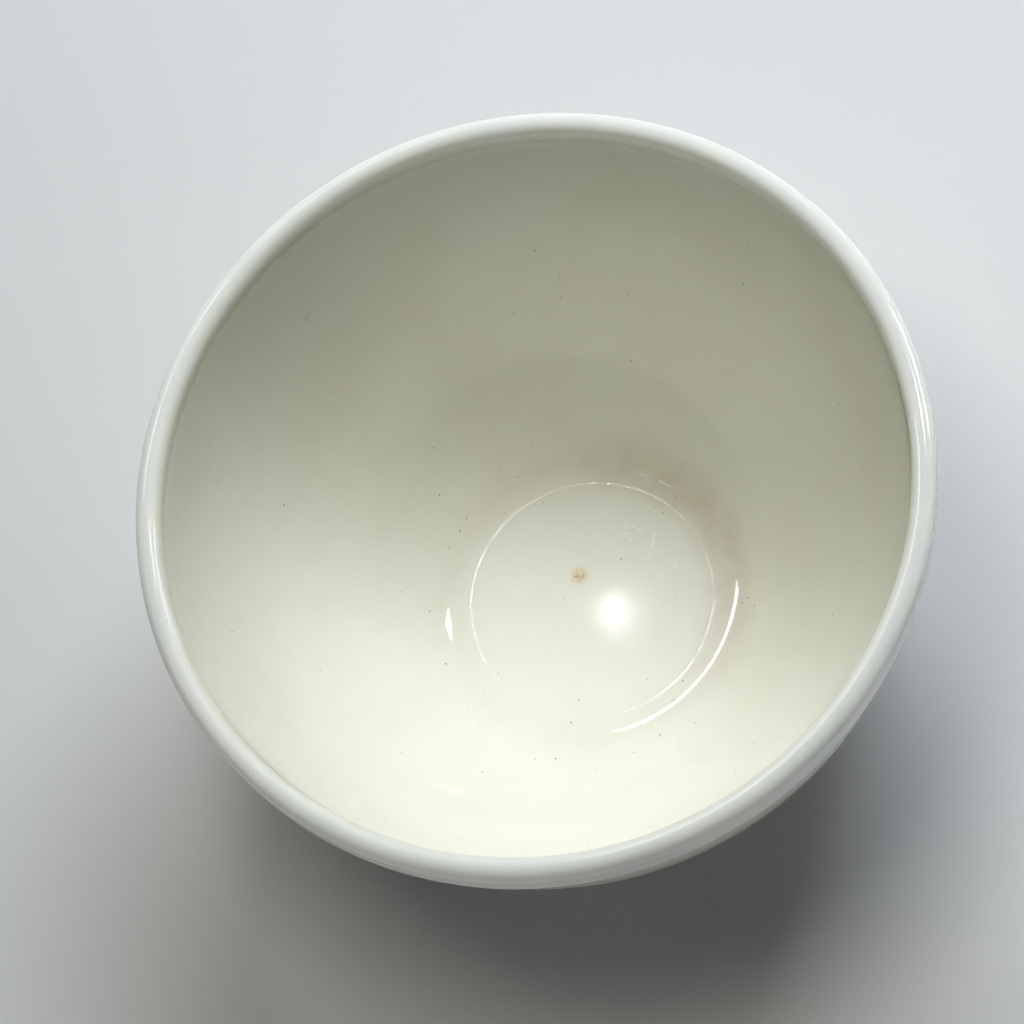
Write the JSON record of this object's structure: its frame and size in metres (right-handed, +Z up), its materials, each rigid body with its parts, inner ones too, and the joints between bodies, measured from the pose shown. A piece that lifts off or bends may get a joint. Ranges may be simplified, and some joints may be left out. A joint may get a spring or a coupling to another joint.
{
  "type": "serving bowl",
  "caption": "Deep round glazed porcelain serving bowl with a thick rolled lip, a curved wall, a round flat well and a low foot ring.",
  "frame": {"origin": "centre of the foot ring's standing face, on the surface the bowl stands on", "axes": "+Z up along the bowl's axis of symmetry, out of its mouth; +X and +Y lie in the standing face, and neither is special on a round bowl"},
  "size_m": [0.26, 0.26, 0.138],
  "materials": {
    "bare_clay": "fired clay, matt and slightly gritty, seen only on the foot's standing edge",
    "ivory_glaze": "glossy ivory glaze with fine dark pinholes and a faint pink-brown ring round the well",
    "rim_glaze": "thick glossy cool-white glaze with a slightly lumpy surface and a few pits",
    "outside_glaze": "glossy ivory glaze with fine dark pinholes",
    "base_glaze": "thinner ivory glaze with light turning marks"
  },
  "bodies": {
    "root": {"clay_body": "bare_clay", "foot_ring": "bare_clay", "inside_glaze": "ivory_glaze", "rim_glaze": "rim_glaze", "outside_glaze": "outside_glaze", "base_glaze": "base_glaze"}
  },
  "joints": []
}
